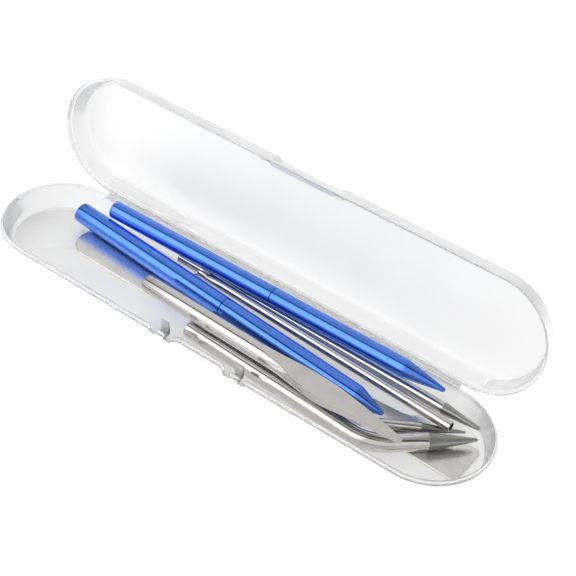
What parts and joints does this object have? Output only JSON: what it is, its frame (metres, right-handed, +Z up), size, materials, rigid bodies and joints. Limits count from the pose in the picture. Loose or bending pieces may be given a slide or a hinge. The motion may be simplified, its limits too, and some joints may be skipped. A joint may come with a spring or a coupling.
{
  "type": "modelling tool set in a hinged case",
  "caption": "Slim hand modelling tools, blue pens and steel styluses, knife and spatula, lying loose in a long see-through case with rounded ends and an open hinged lid.",
  "frame": {"origin": "centre of the tray's flat underside, on the surface it rests on", "axes": "+X along the case towards the square end of the spatula, +Y towards the hinge at the back, +Z up"},
  "size_m": [0.2, 0.0616, 0.0532],
  "materials": {
    "case_plastic": "frosted, milky and see-through",
    "blue_anodised": "satin blue anodised",
    "bare_aluminium": "turned",
    "needle_steel": "polished",
    "rod_steel": "polished along its length",
    "blade_steel": "satin ground"
  },
  "bodies": {
    "tray": {"case_tray": "case_plastic", "hinge_web": "case_plastic"},
    "lid": {"case_lid": "case_plastic"},
    "spatula": {"spatula": "blade_steel"},
    "thin_stylus": {"thin_stylus": "rod_steel"},
    "thick_stylus": {"thick_stylus": "rod_steel"},
    "straight_stylus": {"straight_stylus": "rod_steel"},
    "pen_b": {"pen_b_barrel": "blue_anodised", "pen_b_spigot": "bare_aluminium", "pen_b_needle": "needle_steel"},
    "pen_b_cap": {"pen_b_cap": "blue_anodised"},
    "tube_cutter": {"tube_cutter": "rod_steel"},
    "pen_a": {"pen_a_barrel": "blue_anodised", "pen_a_spigot": "bare_aluminium", "pen_a_needle": "needle_steel"},
    "pen_a_cap": {"pen_a_cap": "blue_anodised"},
    "leaf_knife": {"leaf_knife": "blade_steel"}
  },
  "joints": [
    {"name": "lid_hinge", "type": "hinge", "parent": "tray", "child": "lid", "pos_m": [0, 0.0229, 0.009], "axis": [-1, 0, 0], "range_deg": [-100, 55]},
    {"name": "spatula_lift", "type": "slide", "parent": "tray", "child": "spatula", "axis": [0, 0, 1], "range_m": [0, 0.045]},
    {"name": "thin_stylus_lift", "type": "slide", "parent": "spatula", "child": "thin_stylus", "axis": [0, 0, 1], "range_m": [0, 0.045]},
    {"name": "thick_stylus_lift", "type": "slide", "parent": "thin_stylus", "child": "thick_stylus", "axis": [0, 0, 1], "range_m": [0, 0.045]},
    {"name": "straight_stylus_lift", "type": "slide", "parent": "thick_stylus", "child": "straight_stylus", "axis": [0, 0, 1], "range_m": [0, 0.045]},
    {"name": "pen_b_lift", "type": "slide", "parent": "straight_stylus", "child": "pen_b", "axis": [0, 0, 1], "range_m": [0, 0.045]},
    {"name": "tube_cutter_lift", "type": "slide", "parent": "pen_b", "child": "tube_cutter", "axis": [0, 0, 1], "range_m": [0, 0.045]},
    {"name": "pen_a_lift", "type": "slide", "parent": "tube_cutter", "child": "pen_a", "axis": [0, 0, 1], "range_m": [0, 0.045]},
    {"name": "leaf_knife_lift", "type": "slide", "parent": "pen_a", "child": "leaf_knife", "axis": [0, 0, 1], "range_m": [0, 0.045]},
    {"name": "pen_b_cap_pull", "type": "slide", "parent": "pen_b", "child": "pen_b_cap", "axis": [0.9946, -0.1023, 0.0201], "range_m": [0, 0.005]},
    {"name": "pen_a_cap_pull", "type": "slide", "parent": "pen_a", "child": "pen_a_cap", "axis": [1, 0.0026, 0.0017], "range_m": [0, 0.005]}
  ]
}
